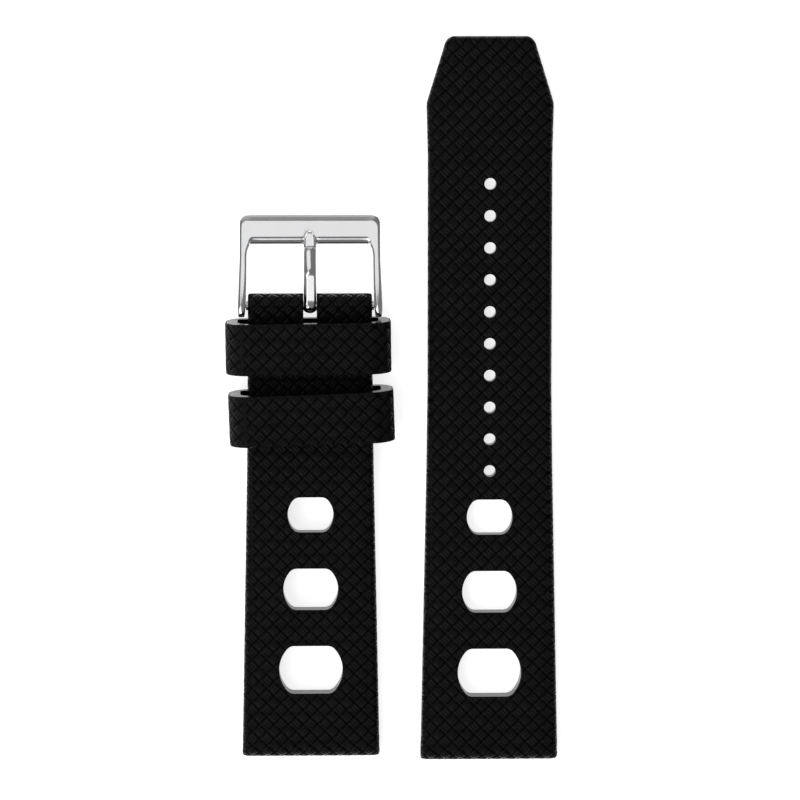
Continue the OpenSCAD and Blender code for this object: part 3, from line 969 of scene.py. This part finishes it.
def pale_sheet(lit, seen):
    """A pale diffuse sheet that also shows at an even level to the camera and in reflections."""
    material, tree, _, node = wired("floor")
    path = node("LightPath")
    plain = node("BsdfDiffuse", Color=(lit, lit, lit, 1))
    glow = node("Emission", Color=(1, 1, 1, 1))
    either = node("Math", [(0, path.outputs["Is Camera Ray"]), (1, path.outputs["Is Glossy Ray"])],
                  operation="MAXIMUM")
    any_ray = node("Math", [(0, either.outputs[0]), (1, path.outputs["Is Transmission Ray"])],
                   operation="MAXIMUM")
    strength = node("Math", [(0, any_ray.outputs[0])], operation="MULTIPLY")
    strength.inputs[1].default_value = seen
    tree.links.new(strength.outputs[0], glow.inputs["Strength"])
    both = node("AddShader", [(0, plain.outputs[0]), (1, glow.outputs[0])])
    tree.links.new(both.outputs[0], tree.nodes["Material Output"].inputs["Surface"])
    return material


sheet = bmesh.new()
bmesh.ops.create_grid(sheet, x_segments=1, y_segments=1, size=floor_half)
bmesh.ops.translate(sheet, vec=(0, 0, floor_z), verts=sheet.verts)
sheet_mesh = bpy.data.meshes.new("floor")
sheet.to_mesh(sheet_mesh)
sheet.free()
sheet_mesh.materials.append(pale_sheet(lit=0.8, seen=0.75))
floor_sheet = bpy.data.objects.new("floor", sheet_mesh)
scene.collection.objects.link(floor_sheet)

# The room is dim to the strap, dimmer still in reflections, and white behind the sheet's edge.
world = bpy.data.worlds.new("studio")
scene.world = world
world.use_nodes = True
sky = world.node_tree
path = sky.nodes.new("ShaderNodeLightPath")
room = sky.nodes.new("ShaderNodeMapRange")
room.inputs["To Min"].default_value = room_light
room.inputs["To Max"].default_value = room_mirrored
sky.links.new(path.outputs["Is Glossy Ray"], room.inputs["Value"])
level = sky.nodes.new("ShaderNodeMapRange")
level.inputs["To Max"].default_value = 1
sky.links.new(room.outputs["Result"], level.inputs["To Min"])
sky.links.new(path.outputs["Is Camera Ray"], level.inputs["Value"])
sky.links.new(level.outputs["Result"], sky.nodes["Background"].inputs["Strength"])
sky.nodes["Background"].inputs["Color"].default_value = (1, 1, 1, 1)


def soft_lamp(name, place, size, level):
    """A rectangular lamp that faces the strap and looks as bright as a white of the given level."""
    data = bpy.data.lights.new(name, "AREA")
    data.shape = "RECTANGLE"
    data.size, data.size_y = size
    data.energy = level * pi * size[0] * size[1]
    lamp = bpy.data.objects.new(name, data)
    lamp.location = place
    lamp.rotation_euler = (lamp_aim - Vector(place)).to_track_quat("-Z", "Y").to_euler()
    scene.collection.objects.link(lamp)


soft_lamp("lamp_left", (-0.517, -0.204, 0.705), size=(0.65, 0.98), level=1.5)
soft_lamp("lamp_far", (-0.225, 0.632, 0.647), size=(0.8, 0.8), level=0.79)
soft_lamp("lamp_near", (-0.26, -0.34, 0.76), size=(0.7, 0.54), level=0.95)
soft_lamp("lamp_low", (-0.2, 0.95, 0.13), size=(0.9, 0.2), level=0.34)

camera = bpy.data.objects.new("camera", bpy.data.cameras.new("camera"))
camera.data.lens = 169
camera.data.sensor_width = 36
camera.data.clip_start = 0.01
camera.location = camera_place
back = (camera_place - camera_aim).normalized()
right = Vector((0, 1, 0)).cross(back).normalized()
camera.rotation_euler = Matrix((right, back.cross(right), back)).transposed().to_euler()
scene.collection.objects.link(camera)
scene.camera = camera
